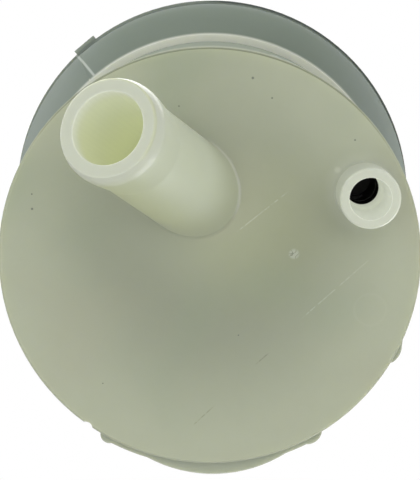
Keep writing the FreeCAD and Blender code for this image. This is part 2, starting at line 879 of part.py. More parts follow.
def cap_insert():
    # The threaded skirt, the web over the gasket, the vent's seat, the collar up to the cap and the
    # socket that holds the dipstick.
    collar_inner = s.collar_radius - s.collar_wall
    body = turned("insert_body", [
        (s.vent_radius, web_rise),
        (s.head_radius, web_rise),
        (s.head_radius, web_rise - s.boss_length),
        (s.boss_radius, web_rise - s.boss_length),
        (s.boss_radius, web_rise),
        (insert_bore, web_rise),
        (insert_bore, web_rise - s.insert_skirt),
        (insert_radius, web_rise - s.insert_skirt),
        (insert_radius, web_top),
        (s.collar_radius, web_top),
        (s.collar_radius, cap_ceiling),
        (collar_inner, cap_ceiling),
        (collar_inner, web_top),
        (s.vent_seat_radius, web_top),
        (s.vent_seat_radius, web_top + s.vent_seat_rise),
        (s.vent_seat_radius - s.vent_seat_wide, web_top + s.vent_seat_rise),
        (s.vent_seat_radius - s.vent_seat_wide, web_top),
        (s.vent_radius, web_top),
    ])
    thread_rise = neck_foot_rise + s.thread_start + s.thread_pitch / 2
    ridge = coil("cap_thread", insert_bore, s.thread_pitch, s.thread_turns,
                 thread_section(insert_bore, inwards=True), thread_rise)
    notches = []
    for number in range(int(s.collar_notches.value)):
        azimuth = number * 360 / s.collar_notches.value
        notches.append(spoke(f"collar_notch_{number + 1}", collar_inner - past,
                             s.collar_radius + past, s.collar_notch_wide,
                             s.collar_notch_tall + past, azimuth,
                             cap_ceiling - s.collar_notch_tall))
    return cut("cap_insert", fused("insert_block", [body, ridge]), notches)


def cap_shell():
    low = web_rise - s.cap_hang
    top = cap_ceiling + s.cap_top
    pin_radius = s.vent_spring_radius - s.vent_wire * 2
    body = turned("cap_body", [
        (cap_bore, low),
        (cap_radius, low),
        (cap_radius, top - s.cap_round),
        (cap_radius - s.cap_round, top, s.cap_round, 1),
        (s.cap_dish_radius, top),
        (s.cap_dish_radius - s.cap_dish_depth, top - s.cap_dish_depth),
        (0, top - s.cap_dish_depth),
        (0, cap_ceiling - s.vent_disc_thick),
        (pin_radius, cap_ceiling - s.vent_disc_thick),
        (pin_radius, cap_ceiling),
        (cap_bore, cap_ceiling),
    ])
    ribs = []
    for number in range(int(s.cap_ribs.value)):
        rib = cylinder(f"cap_rib_{number + 1}", s.cap_rib_radius, top - low - s.cap_rib_margin * 2)
        azimuth = number * 360 / s.cap_ribs.value
        ribs.append(around(rib, cap_radius, azimuth, low + s.cap_rib_margin))
    return fused("cap_shell", [body] + ribs)


def vent_seal():
    return ring("vent_seal", s.vent_disc_radius, s.vent_radius - s.vent_vane_play,
                s.vent_seal_thick, vent_seal_rise)


def vent_valve():
    disc = at(cylinder("vent_disc", s.vent_disc_radius, s.vent_disc_thick), rise=vent_disc_rise)
    reach = s.vent_radius - s.vent_vane_play * 2
    vanes = []
    for number in range(4):
        vanes.append(spoke(f"vent_vane_{number + 1}", 0, reach, s.vent_vane_thick,
                           s.vent_vane_length, number * 90, vent_disc_rise - s.vent_vane_length))
    return fused("vent_valve", [disc] + vanes)


def dipstick():
    # The hollow head in the cap's socket, windows for the vent's air, and the blade with its notches.
    outside = s.head_radius - s.head_play
    head_low = web_rise - s.head_length
    head = turned("dipstick_head", [
        (0, head_low),
        (outside, head_low),
        (outside, web_rise),
        (outside - s.head_wall, web_rise),
        (outside - s.head_wall, head_low + s.head_floor),
        (0, head_low + s.head_floor),
    ])
    window = box("dipstick_window", s.boss_radius * 2, s.blade_thick * 2,
                 web_rise - s.boss_length - head_low - s.head_floor)
    at(window, -s.boss_radius, -s.blade_thick, head_low + s.head_floor)
    half = s.blade_wide / 2
    tip = stem_top + s.blade_gap
    low = tip + s.level_low
    high = tip + s.level_high
    blade = padded("dipstick_blade", [
        (-s.blade_tip / 2, tip),
        (s.blade_tip / 2, tip),
        (half, tip + s.blade_tip),
        (half, low - s.level_notch),
        (half - s.level_notch, low),
        (half, low + s.level_notch),
        (half, high - s.level_notch),
        (half - s.level_notch, high),
        (half, high + s.level_notch),
        (half, head_low + s.head_floor / 2),
        (-half, head_low + s.head_floor / 2),
        (-half, tip + s.blade_tip),
    ], s.blade_thick, plane_role="XZ_Plane", middle=True)
    return fused("dipstick", [cut("dipstick_holder", head, [window]), blade])


nodes = [
    lower_shell(),
    upper_shell(),
    filter_base(),
    return_seal(),
    base_seal(),
    filter_cage(),
    filter_mesh(),
    filter_cover(),
    bypass_valve(),
    spring("bypass_spring", s.bypass_spring_radius, s.bypass_wire, s.bypass_turns, cover_top,
           s.bypass_spring_length),
    ring("bypass_retainer", s.retainer_radius, s.stem_radius, s.retainer_thick, retainer_rise),
    baffle_plate(),
    strainer_frame(),
    strainer_mesh(),
    cap_gasket(),
    cap_insert(),
    cap_shell(),
    vent_seal(),
    vent_valve(),
    spring("vent_spring", s.vent_spring_radius, s.vent_wire, s.vent_turns,
           vent_disc_rise + s.vent_disc_thick, cap_ceiling - vent_disc_rise - s.vent_disc_thick),
    dipstick(),
]

doc.recompute()

faults = [item.Name for item in doc.Objects if "Invalid" in item.State or "Error" in item.State]
for node in nodes:
    node.Label = node.Name
    if node.Shape.isNull() or not node.Shape.isValid():
        faults.append(f"{node.Name} shape")
if faults:
    raise RuntimeError("failed objects: " + ", ".join(faults))

os.makedirs("parts", exist_ok=True)
for node in nodes:
    node.Shape.exportStep(f"parts/{node.Label}.step")
    box_of = node.Shape.BoundBox
    print(f"{node.Label}: {len(node.Shape.Solids)} solid, {node.Shape.Volume:.1f} mm3, "
          f"x {box_of.XMin:.2f} {box_of.XMax:.2f}, y {box_of.YMin:.2f} {box_of.YMax:.2f}, "
          f"z {box_of.ZMin:.2f} {box_of.ZMax:.2f}")
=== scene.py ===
import json
import math

import bmesh
import bpy
from mathutils import Matrix, Vector, noise


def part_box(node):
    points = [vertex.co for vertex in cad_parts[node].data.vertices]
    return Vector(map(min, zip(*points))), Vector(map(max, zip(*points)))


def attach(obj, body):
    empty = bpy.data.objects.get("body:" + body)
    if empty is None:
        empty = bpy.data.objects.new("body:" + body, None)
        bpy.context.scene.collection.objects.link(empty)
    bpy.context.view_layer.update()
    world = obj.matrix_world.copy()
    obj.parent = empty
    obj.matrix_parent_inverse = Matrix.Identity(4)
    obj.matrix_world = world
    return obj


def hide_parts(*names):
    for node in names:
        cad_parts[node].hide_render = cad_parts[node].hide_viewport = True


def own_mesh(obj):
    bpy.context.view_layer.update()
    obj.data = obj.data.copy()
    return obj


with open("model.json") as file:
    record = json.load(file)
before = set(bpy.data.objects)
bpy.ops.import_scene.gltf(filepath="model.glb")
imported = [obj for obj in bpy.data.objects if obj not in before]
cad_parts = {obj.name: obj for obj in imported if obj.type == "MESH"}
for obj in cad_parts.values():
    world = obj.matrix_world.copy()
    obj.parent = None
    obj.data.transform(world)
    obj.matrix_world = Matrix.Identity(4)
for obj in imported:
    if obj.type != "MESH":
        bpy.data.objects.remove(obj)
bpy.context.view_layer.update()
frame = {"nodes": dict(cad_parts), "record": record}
nodes = frame["nodes"]
mounts = {mount["name"]: mount for mount in frame["record"]["mounts"]}
print("frame loaded with", len(nodes), "nodes")

# places on the tank, from the frame where it holds them
returnMouth = Vector(mounts["return_spigot"]["pos_m"])
suctionMouth = Vector(mounts["suction_spigot"]["pos_m"])
suctionWay = Vector(mounts["suction_spigot"]["axis"]).normalized()
suctionRoot = suctionMouth - suctionWay * (suctionMouth.z / suctionWay.z)
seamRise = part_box("lower_shell")[1].z
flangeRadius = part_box("lower_shell")[1].x
shadeWay = Vector((suctionWay.y, -suctionWay.x, 0)).normalized()    # across the spigot, to its shaded side
discRadius = 0.040
ledgeRise = 0.0576
flareGrey = 0.072       # height up to which the flare keeps its darkest painted shade


# camera where the photograph was taken from, in the frame of the tank
camera = {
    "focalPixels": 1397.0,
    "imageLongSide": 480,
    "sensorMm": 36.0,
    "axisPan": math.radians(0.35),      # how far the tank's axis runs to the right in the view
    "axisTilt": math.radians(-9.3),     # and up
    "discCentre": Vector((-0.00007, 0.00385, 0.26417)),     # right, down and away from the lens
}


def makeCamera():
    axis = Vector((math.tan(camera["axisPan"]), math.tan(camera["axisTilt"]), 1)).normalized()
    across = (Vector((1, 0, 0)) - axis * axis.x).normalized()
    rear = axis.cross(across)
    toTank = Matrix((across, rear, axis))
    turn = Matrix([toTank @ Vector(way) for way in ((1, 0, 0), (0, -1, 0), (0, 0, -1))]).transposed()
    data = bpy.data.cameras.new("photoCamera")
    data.sensor_width = camera["sensorMm"]
    data.lens = camera["focalPixels"] / camera["imageLongSide"] * camera["sensorMm"]
    made = bpy.data.objects.new("photoCamera", data)
    bpy.context.scene.collection.objects.link(made)
    made.matrix_world = Matrix.Translation(-(toTank @ camera["discCentre"])) @ turn.to_4x4()
    bpy.context.scene.camera = made
    print("camera at", [round(value, 3) for value in made.matrix_world.translation])


# sockets of Blender's mix node that hold colours
mixFactor, mixFirst, mixSecond, mixResult = 0, 6, 7, 2


# a socket of a node tree that takes part in sums
class Wire:
    def __init__(self, tree, socket=None):
        self.tree = tree
        self.socket = socket

    def node(self, kind, settings=None, inputs=None, output=0):
        made = self.tree.nodes.new(kind)
        for name, value in (settings or {}).items():
            setattr(made, name, value)
        for name, value in (inputs or {}).items():
            if isinstance(value, Wire):
                self.tree.links.new(value.socket, made.inputs[name])
            elif made.inputs[name].type == "RGBA":
                made.inputs[name].default_value = (*value, 1.0)
            else:
                made.inputs[name].default_value = value
        return Wire(self.tree, made.outputs[output] if made.outputs else None)

    def sum(self, operation, first, second=0.0):
        return self.node("ShaderNodeMath", {"operation": operation}, {0: first, 1: second})

    def __add__(self, other):
        return self.sum("ADD", self, other)

    __radd__ = __add__

    def __sub__(self, other):
        return self.sum("SUBTRACT", self, other)

    def __rsub__(self, other):
        return self.sum("SUBTRACT", other, self)

    def __mul__(self, other):
        return self.sum("MULTIPLY", self, other)

    __rmul__ = __mul__

    def __pow__(self, other):
        return self.sum("POWER", self, other)

    def most(self, other):
        return self.sum("MAXIMUM", self, other)

    def between(self, low, high):       # 0 at low, 1 at high, smooth in between
        return self.node("ShaderNodeMapRange", {"interpolation_type": "SMOOTHSTEP"},
                         {"Value": self, "From Min": low, "From Max": high})

    def past(self, name, base=0.0):     # 0 at the first of the named limits, 1 at the second
        low, high = limits[name]
        return self.between(base + low / 1000, base + high / 1000)

    def vector(self, operation, other=(0, 0, 0), output="Vector"):
        return self.node("ShaderNodeVectorMath", {"operation": operation}, {0: self, 1: other}, output)

    def part(self, axis):
        return self.node("ShaderNodeSeparateXYZ", None, {"Vector": self}, axis)

    def grain(self, scale, detail=2.0):
        return self.node("ShaderNodeTexNoise", None, {"Vector": self, "Scale": scale, "Detail": detail})

    def colour(self, first, second):    # runs from the first colour to the second
        return self.node("ShaderNodeMix", {"data_type": "RGBA"},
                         {mixFactor: self, mixFirst: first, mixSecond: second}, mixResult)

    def bump(self, height, distance, strength):
        return self.node("ShaderNodeBump", None,
                         {"Height": height, "Distance": distance, "Strength": strength})


def startMaterial(name):
    material = bpy.data.materials.new(name)
    material.use_nodes = True
    material.node_tree.nodes.clear()
    start = Wire(material.node_tree)
    return material, start, start.node("ShaderNodeTexCoord", output="Object")


def finishMaterial(material, start, shader):
    start.node("ShaderNodeOutputMaterial", None, {"Surface": shader})
    return material


def distanceToLine(place, root, way):
    offset = place.vector("SUBTRACT", tuple(root))
    along = offset.vector("DOT_PRODUCT", tuple(way), "Value")
    reach = offset.vector("LENGTH", output="Value")
    return (reach ** 2.0 - along ** 2.0).most(0.0) ** 0.5, along


# tones of the tank's natural nylon, as it shows in each of its regions
nylon = {
    "disc": (0.298, 0.320, 0.242),
    # painted light: the disc lighter towards its rim, where light comes in through the side wall
    "rim": (0.418, 0.445, 0.336),
    "filterShade": (0.318, 0.340, 0.222),     # painted shade of the filter inside, seen through the disc
    "green": (0.290, 0.345, 0.245),
    "warm": (0.375, 0.375, 0.285),
    # painted shade along the disc's rim; also the tone of dark scratches and of the gate's torn face
    "rimLine": (0.150, 0.165, 0.115),
    "foot": (0.350, 0.378, 0.300),
    # painted shade of the side wall
    "wall": (0.240, 0.272, 0.218),
    "softboxReflection": (0.520, 0.545, 0.490),     # painted reflection of a softbox on the side wall
    # painted highlight on the ledge, also along the suction spigot's root
    "ledgeHighlight": (0.600, 0.620, 0.540),
    # painted shade on the flare
    "flare": (0.190, 0.226, 0.188),
    "flareSide": (0.248, 0.284, 0.256),
    "flareEdge": (0.250, 0.286, 0.260),
    "parting": (0.50, 0.54, 0.49),
    # painted shade under the flange at the seam; also the tone of dark specks
    "edgeShadeAndSpeck": (0.095, 0.110, 0.108),
    "upper": (0.375, 0.402, 0.312),
    "upperFoot": (0.300, 0.328, 0.265),
    "spigot": (0.515, 0.556, 0.425),
    "spigotFoot": (0.385, 0.412, 0.290),
    "shade": (0.450, 0.482, 0.290),     # the side of the spigot that is turned from the light
    "lip": (0.478, 0.505, 0.425),
    "returnSpigot": (0.405, 0.430, 0.375),
    # painted shade in the return spigot's riser
    "riserShade": (0.008, 0.008, 0.007),
    # pale marks on the disc, and a painted highlight on the return spigot's fillet
    "paleMarkAndHighlight": (0.52, 0.55, 0.45),
}

# light painted in as a glow: on the walls of the spigots' bores and on the disc around their feet
glow = {
    "mouth": (0.300, 0.305, 0.270),
    "bore": (0.222, 0.225, 0.155),
    "deep": (0.280, 0.290, 0.167),
    "returnBore": (0.34, 0.35, 0.30),
    "returnFoot": (0.150, 0.156, 0.120),
    "suctionFoot": (0.050, 0.053, 0.041),
}

# limits of the tones, in millimetres: a tone is missing at the first number and full at the second
limits = {
    # on the disc
    "offDisc": (0.1, 0.4),              # height
    "rim": (8.0, 38.0),                 # from the tank's axis
    "filterShade": (4.0, 22.0),               # from its own middle
    "rimLine": (-0.5, -0.3),            # from the disc's radius
    "rimLineFront": (-18.0, -32.0),     # along y
    # up the wall, the ledge, the flare and the upper half
    "wall": (4.0, 28.0),
    "reflectionFoot": (12.0, 18.0),
    "reflectionTop": (20.0, 30.0),
    "ledgeHighlight": (-0.4, -0.1),              # from the ledge
    "flare": (0.1, 1.4),                # from the ledge
    "flareSide": (18.0, 44.0),          # along x, to both sides
    "partingEnd": (-0.8, 0.0),          # from the seam
    "edgeShadeAndSpeck": (-2.6, -2.1),           # from the seam
    "edgeShadeInner": (-0.7, -0.3),      # from the flange's radius
    "edgeShadeOuter": (0.05, 0.15),      # from the flange's radius
    "edgeShadeRight": (-4.0, 4.0),       # along x
    "upperFoot": (0.0, 16.0),           # from the seam
    "upper": (0.1, 2.2),                # from the seam
    # on the suction spigot
    "shade": (-2.0, 8.0),               # across it, as are the other two shades
    "shank": (-0.5, -14.0),             # height
    "belowDisc": (-0.1, -0.8),          # height
    "lipEnd": (0.2, 4.5),               # depth from the mouth
    "mouthEdge": (8.1, 8.4),            # from its axis
    "mouthEdgeEnd": (0.3, 0.6),         # depth from the mouth
    "mouthEdgeShade": (-4.0, 1.0),
    "rootTop": (0.2, 0.0),              # height
    "rootEnd": (-0.4, -0.9),            # height
    "rootAlong": (3.0, 0.0),            # along its axis
    "rootOuter": (9.0, 9.4),            # from its axis
    "rootShade": (-6.0, -1.0),
    "boreWall": (6.2, 6.5),             # from its axis
    "boreTop": (-0.5, 0.5),             # height
    "mouthGlowEnd": (0.0, 3.2),         # depth from the mouth
    "deepGlow": (8.0, 20.0),            # depth from the mouth
    "suctionFoot": (8.5, 23.0),         # from its axis
    # on the return spigot
    "returnFoot": (5.8, 8.5),           # from its axis
    "returnTop": (-1.0, 0.5),           # height
    "returnWall": (3.8, 4.0),           # from its axis
    "riserStart": (5.7, 6.0),           # height
    "riserTop": (16.0, 16.5),           # height
}

# how strongly a tone covers what lies below it
strength = {
    "filterShade": 0.75,
    "tint": 0.30,
    "rimLine": 0.8,
    "softboxReflection": 0.5,
    "parting": 0.8,
    "mouthEdge": 0.55,
    "rootHighlight": 0.5,
    "speck": 0.75,
    "gate": 0.6,
    "torn": 0.7,
    "glint": 0.6,
    "ring": 0.08,
}

# grain of the nylon, in waves per metre
grains = {"blobs": 38, "mottle": 260, "tint": 34, "softboxReflection": 170, "scratch": 900, "torn": 1100, "skin": 700,
          "swell": 60}

# the shader that carries the tones
nylonSkin = {
    "roughness": 0.48,
    "mottled": 0.10,
    "subsurface": 0.45,
    "scatter": (1.0, 0.95, 0.62),
    "scatterMm": 4.0,
    "discCoat": 0.30,
    "spigotCoat": 0.35,
    "coatRoughness": 0.30,
    "tone": 0.95,
    "blobTone": 0.07,
    "mottleTone": 0.03,
    "swell": 6.0,
    "bump": 0.00002,
    "bumpStrength": 0.6,
}

# tints of the disc: values of their grain between which they fade, and the middle of the filter's painted
# shade
tints = {"green": (0.30, 0.48), "warm": (0.52, 0.70), "rimPower": 1.3,
         "filterShadeOffset": Vector((0.0125, 0.0075, 0))}
faintest = 0.25     # share that is left of the painted shade lines along the disc's rim and under the flange, on their far sides

# painted reflections of a softbox on the side wall: azimuth and half width in degrees
softboxReflections = {
    "places": [(-70.7, 2.0), (-65.3, 2.7), (-59.5, 1.8), (-56.5, 1.0)],
    "soft": (0.4, 1.2),     # shares of the half width
    "torn": (0.38, 0.62),
}

# parting line of the mould on the flare, which slants a little on its way up
partingLine = {"ledgeAzimuth": -129.5, "flangeAzimuth": -133.5, "halfWidth": 0.00045, "soft": 0.00035}

# marks on the disc, and a painted highlight, in millimetres
discMarks = {
    "scratches": [
        # from, to, tone, strength
        ((4.8, -5.2), (15.1, -13.4), "paleMarkAndHighlight", 0.5),
        ((17.2, 11.5), (31.2, -1.1), "paleMarkAndHighlight", 0.5),
        ((-3.2, 32.3), (1.0, 28.3), "rimLine", 0.4),
        ((8.7, 20.3), (11.5, 17.8), "rimLine", 0.4),
    ],
    "halfWidth": 0.16,
    "core": 0.4,            # shares of the half width and of the length
    "fadeIn": 0.15,
    "fadeOut": 0.8,
    "scratchTorn": (0.35, 0.6),
    # x, y and size
    "specks": [(8.0, -34.3, 0.22), (11.6, -30.6, 0.16), (27.1, -22.8, 0.16), (-33.4, -9.8, 0.2),
               (-33.4, -12.6, 0.14), (-5.7, -29.1, 0.14), (-20.5, 24.0, 0.12), (5.5, 14.5, 0.12)],
    "speckSoft": (0.5, 1.6),
    # each spot has its centre and the radii between which it fades
    "gate": (15.94, -1.24),
    "gateFade": (0.57, 1.235),
    "tornIn": (0.47, 0.51),
    "tornOut": (0.55, 0.59),
    "glint": (23.9, -17.2),     # painted highlight on the fillet of the return spigot
    "glintFade": (0.255, 0.85),
    "ring": (30.5, 9.5),
    "ringOuter": (3.1, 3.4),
    "ringInner": (2.7, 3.0),
}


def strokeMask(place, first, last):
    first, last = Vector((*first, 0)) / 1000, Vector((*last, 0)) / 1000
    across, along = distanceToLine(place, first, (last - first).normalized())
    length = (last - first).length
    halfWidth = discMarks["halfWidth"] / 1000
    ends = along.between(0, length * discMarks["fadeIn"])
    ends = ends * (1 - along.between(length * discMarks["fadeOut"], length))
    return (1 - across.between(halfWidth * discMarks["core"], halfWidth)) * ends


def spotMask(place, centre, fade):
    reach = place.vector("DISTANCE", (centre[0] / 1000, centre[1] / 1000, 0), "Value")
    return 1 - reach.between(fade[0] / 1000, fade[1] / 1000)


# the disc: painted light towards its rim, where light comes in through the side wall, and painted shade
# where the filter stands behind it
def discTone(place, radius):
    disc = (radius.past("rim") ** tints["rimPower"]).colour(nylon["disc"], nylon["rim"])
    # painted shade where the filter stands behind the disc
    reach = place.vector("DISTANCE", tuple(suctionRoot + tints["filterShadeOffset"]), "Value")
    disc = ((1 - reach.past("filterShade")) * strength["filterShade"]).colour(disc, nylon["filterShade"])
    tint = place.grain(grains["tint"], 1.0)
    disc = ((1 - tint.between(*tints["green"])) * strength["tint"]).colour(disc, nylon["green"])
    disc = (tint.between(*tints["warm"]) * strength["tint"]).colour(disc, nylon["warm"])
    # painted shade: a dark line along the disc's rim, fullest on its -y side
    front = faintest + (1 - faintest) * place.part(1).past("rimLineFront")
    rimLine = radius.past("rimLine", discRadius) * front
    return (rimLine * strength["rimLine"]).colour(disc, nylon["rimLine"])


# the side wall, the ledge, the flare and the upper half, with painted shade on the wall and the flare and
# a painted highlight on the ledge
def wallTone(start, place, height, radius):
    # painted shade: the wall greys going up from its foot
    body = height.past("wall").colour(nylon["foot"], nylon["wall"])
    azimuth = start.sum("ARCTAN2", place.part(1), place.part(0))
    # painted reflections of a softbox, broken up by a grain
    reflectionRise = height.past("reflectionFoot") * (1 - height.past("reflectionTop"))
    reflectionRise = reflectionRise * place.grain(grains["softboxReflection"], 1.0).between(*softboxReflections["torn"])
    for middle, halfWidth in softboxReflections["places"]:
        aside = start.sum("ABSOLUTE", azimuth - math.radians(middle))
        reflection = 1 - aside.between(*(math.radians(halfWidth * share) for share in softboxReflections["soft"]))
        body = (reflection * reflectionRise * strength["softboxReflection"]).colour(body, nylon["softboxReflection"])
    # painted highlight on the ledge
    body = height.past("ledgeHighlight", ledgeRise).colour(body, nylon["ledgeHighlight"])

    # painted shade on the flare, darkest low in the middle, lighter towards the sides and the seam
    onFlare = height.past("flare", ledgeRise)
    flare = height.between(flareGrey, seamRise).colour(nylon["flare"], nylon["flareEdge"])
    toSide = start.sum("ABSOLUTE", place.part(0)).past("flareSide")
    body = onFlare.colour(body, toSide.colour(flare, nylon["flareSide"]))
    slant = start.node("ShaderNodeMapRange", None, {
        "Value": height, "From Min": ledgeRise, "From Max": seamRise,
        "To Min": math.radians(partingLine["ledgeAzimuth"]),
        "To Max": math.radians(partingLine["flangeAzimuth"])})
    aside = start.sum("ABSOLUTE", azimuth - slant) * radius
    parting = 1 - aside.between(partingLine["halfWidth"] - partingLine["soft"], partingLine["halfWidth"])
    parting = parting * onFlare * (1 - height.past("partingEnd", seamRise))
    body = (parting * strength["parting"]).colour(body, nylon["parting"])

    # painted shade: a dark line under the flange at the seam, fuller on the +x side
    edgeShadeAndSpeck = height.past("edgeShadeAndSpeck", seamRise) * radius.past("edgeShadeInner", flangeRadius)
    edgeShadeAndSpeck = edgeShadeAndSpeck * (1 - radius.past("edgeShadeOuter", flangeRadius))
    edgeShadeAndSpeck = edgeShadeAndSpeck * (faintest + (1 - faintest) * place.part(0).past("edgeShadeRight"))
    body = edgeShadeAndSpeck.colour(body, nylon["edgeShadeAndSpeck"])
    upper = height.past("upperFoot", seamRise).colour(nylon["upperFoot"], nylon["upper"])
    return height.past("upper", seamRise).colour(body, upper)


# the spigots grow lighter away from the disc; light in their bores and around their feet is painted in as
# a glow
def spigotTones(place, height, onDisc, body):
    toSuction, alongSuction = distanceToLine(place, suctionRoot, suctionWay)
    toReturn = distanceToLine(place, returnMouth, (0, 0, 1))[0]
    turned = place.vector("SUBTRACT", tuple(suctionRoot)).vector("DOT_PRODUCT", tuple(shadeWay), "Value")
    depth = (suctionMouth - suctionRoot).length - alongSuction
    belowDisc = height.past("belowDisc")
    nearReturn = (1 - toReturn.past("returnFoot")) * (1 - height.past("returnTop"))
    onSpigot = belowDisc.most(nearReturn)

    shank = turned.past("shade").colour(nylon["spigot"], nylon["shade"])
    shank = height.past("shank").colour(nylon["spigotFoot"], shank)
    body = belowDisc.colour(body, shank)
    body = nearReturn.colour(body, nylon["returnSpigot"])
    body = (belowDisc * (1 - depth.past("lipEnd"))).colour(body, nylon["lip"])
    # painted shade: a dark line along the outer edge of the mouth, on the side opposite the shank's shaded
    # side
    mouthEdge = toSuction.past("mouthEdge") * (1 - depth.past("mouthEdgeEnd")) * belowDisc
    mouthEdge = mouthEdge * (1 - turned.past("mouthEdgeShade"))
    body = (mouthEdge * strength["mouthEdge"]).colour(body, nylon["shade"])
    # painted highlight along the root of the suction spigot, on its lit side
    rootHighlight = height.past("rootTop") * (1 - height.past("rootEnd"))
    rootHighlight = rootHighlight * alongSuction.past("rootAlong") * (1 - toSuction.past("rootOuter"))
    rootHighlight = rootHighlight * (1 - turned.past("rootShade"))
    body = (rootHighlight * strength["rootHighlight"]).colour(body, nylon["ledgeHighlight"])

    # painted light: a glow on the disc around the feet of both spigots
    nearSuction = (1 - toSuction.past("suctionFoot")) * onDisc
    paintedGlow = nearSuction.colour((0, 0, 0), glow["suctionFoot"])
    paintedGlow = (nearReturn * onDisc).colour(paintedGlow, glow["returnFoot"])
    # painted light: a glow on the wall of the suction bore
    inSuction = (1 - toSuction.past("boreWall")) * (1 - height.past("boreTop"))
    suctionLight = depth.past("mouthGlowEnd").colour(glow["mouth"], glow["bore"])
    suctionLight = depth.past("deepGlow").colour(suctionLight, glow["deep"])
    paintedGlow = inSuction.colour(paintedGlow, suctionLight)

    # painted light: a glow on the wall of the return bore below the riser; painted shade: the riser above
    # the return bore stands in the dark hood and is painted near black, with no glow
    inReturn = 1 - toReturn.past("returnWall")
    riserStart = height.past("riserStart")
    paintedGlow = (inReturn * (1 - riserStart)).colour(paintedGlow, glow["returnBore"])
    inRiser = inReturn * riserStart * (1 - height.past("riserTop"))
    return inRiser.colour(body, nylon["riserShade"]), inRiser.colour(paintedGlow, (0, 0, 0)), onSpigot


# scratches, specks, the torn face of the trimmed gate, a painted highlight (the glint) and a faint ring
def markTones(place, onDisc, body):
    for first, last, tone, cover in discMarks["scratches"]:
        line = strokeMask(place, first, last)
        line = line * place.grain(grains["scratch"]).between(*discMarks["scratchTorn"])
        body = (line * onDisc * cover).colour(body, nylon[tone])
    for x, y, size in discMarks["specks"]:
        speck = spotMask(place, (x, y), [size * share for share in discMarks["speckSoft"]])
        body = (speck * onDisc * strength["speck"]).colour(body, nylon["edgeShadeAndSpeck"])
    gate = spotMask(place, discMarks["gate"], discMarks["gateFade"])
    body = (gate * onDisc * strength["gate"]).colour(body, nylon["paleMarkAndHighlight"])
    torn = place.grain(grains["torn"], 0.0)
    torn = torn.between(*discMarks["tornIn"]) * (1 - torn.between(*discMarks["tornOut"]))
    body = (gate * torn * strength["torn"]).colour(body, nylon["rimLine"])
    # painted highlight on the fillet of the return spigot
    glint = spotMask(place, discMarks["glint"], discMarks["glintFade"])
    body = (glint * strength["glint"]).colour(body, nylon["paleMarkAndHighlight"])
    ring = spotMask(place, discMarks["ring"], discMarks["ringOuter"])
    ring = ring * (1 - spotMask(place, discMarks["ring"], discMarks["ringInner"]))
    return (ring * onDisc * strength["ring"]).colour(body, nylon["paleMarkAndHighlight"])


def makeNylon():
    material, start, place = startMaterial("naturalNylon")
    height = place.part(2)
    radius = place.vector("MULTIPLY", (1, 1, 0)).vector("LENGTH", output="Value")
    onDisc = 1 - height.past("offDisc")
    blobs = place.grain(grains["blobs"], 2.0)
    mottle = place.grain(grains["mottle"], 3.0)

    body = onDisc.colour(wallTone(start, place, height, radius), discTone(place, radius))
    body, paintedGlow, onSpigot = spigotTones(place, height, onDisc, body)
    body = markTones(place, onDisc, body)
    tone = nylonSkin["tone"] + nylonSkin["blobTone"] * blobs + nylonSkin["mottleTone"] * mottle
    colour = start.node("ShaderNodeVectorMath", {"operation": "SCALE"}, {0: body, "Scale": tone})

    skin = place.grain(grains["skin"], 3.0) + nylonSkin["swell"] * place.grain(grains["swell"], 2.0)
    shader = start.node("ShaderNodeBsdfPrincipled", None, {
        "Base Color": colour,
        "Roughness": nylonSkin["roughness"] + nylonSkin["mottled"] * mottle,
        "Normal": start.bump(skin, nylonSkin["bump"], nylonSkin["bumpStrength"]),
        "Subsurface Weight": nylonSkin["subsurface"],
        "Subsurface Radius": nylonSkin["scatter"],
        "Subsurface Scale": nylonSkin["scatterMm"] / 1000,
        "Specular IOR Level": 0.0,
        "Coat Weight": nylonSkin["discCoat"] * onDisc + nylonSkin["spigotCoat"] * onSpigot,
        "Coat Roughness": nylonSkin["coatRoughness"],
        "Emission Color": paintedGlow,
        "Emission Strength": 1.0,
    })
    return finishMaterial(material, start, shader)


# the moulded plastics inside and on the neck
plastics = {
    "cap": {
        "colour": (0.018, 0.018, 0.020), "worn": (0.045, 0.045, 0.047), "roughness": 0.30, "grain": 1500},
    "filter": {
        "colour": (0.020, 0.020, 0.020), "worn": (0.035, 0.035, 0.034), "roughness": 0.38, "grain": 1100},
    "white": {
        "colour": (0.70, 0.70, 0.66), "worn": (0.62, 0.61, 0.55), "roughness": 0.26, "grain": 900},
    "rubber": {
        "colour": (0.020, 0.020, 0.021), "worn": (0.040, 0.039, 0.037), "roughness": 0.50, "grain": 1800},
}
wear = {"grain": 55, "share": (0.35, 0.75), "rougher": 0.16, "fineRougher": 0.08, "cloudBump": 0.6,
        "bump": 0.00003, "bumpStrength": 0.7}


def makePlastic(name):
    facts = plastics[name]
    material, start, place = startMaterial(name + "Plastic")
    cloud = place.grain(wear["grain"], 3.0)
    fine = place.grain(facts["grain"], 2.0)
    shader = start.node("ShaderNodeBsdfPrincipled", None, {
        "Base Color": cloud.between(*wear["share"]).colour(facts["colour"], facts["worn"]),
        "Roughness": facts["roughness"] + wear["rougher"] * cloud + wear["fineRougher"] * fine,
        "Normal": start.bump(fine + wear["cloudBump"] * cloud, wear["bump"], wear["bumpStrength"]),
        "IOR": 1.5,
    })
    return finishMaterial(material, start, shader)


steel = {"colour": (0.55, 0.55, 0.56), "dull": (0.36, 0.35, 0.34), "dullShare": (0.35, 0.75),
         "streaks": 900, "roughness": 0.26, "streaked": 0.2, "bump": 0.00001, "bumpStrength": 0.6}


def makeSteel():
    material, start, place = startMaterial("springSteel")
    streaks = place.vector("MULTIPLY", (1, 1, 6)).grain(steel["streaks"], 3.0)
    shader = start.node("ShaderNodeBsdfPrincipled", None, {
        "Base Color": streaks.between(*steel["dullShare"]).colour(steel["colour"], steel["dull"]),
        "Metallic": 1.0,
        "Roughness": steel["roughness"] + steel["streaked"] * streaks,
        "Normal": start.bump(streaks, steel["bump"], steel["bumpStrength"]),
    })
    return finishMaterial(material, start, shader)


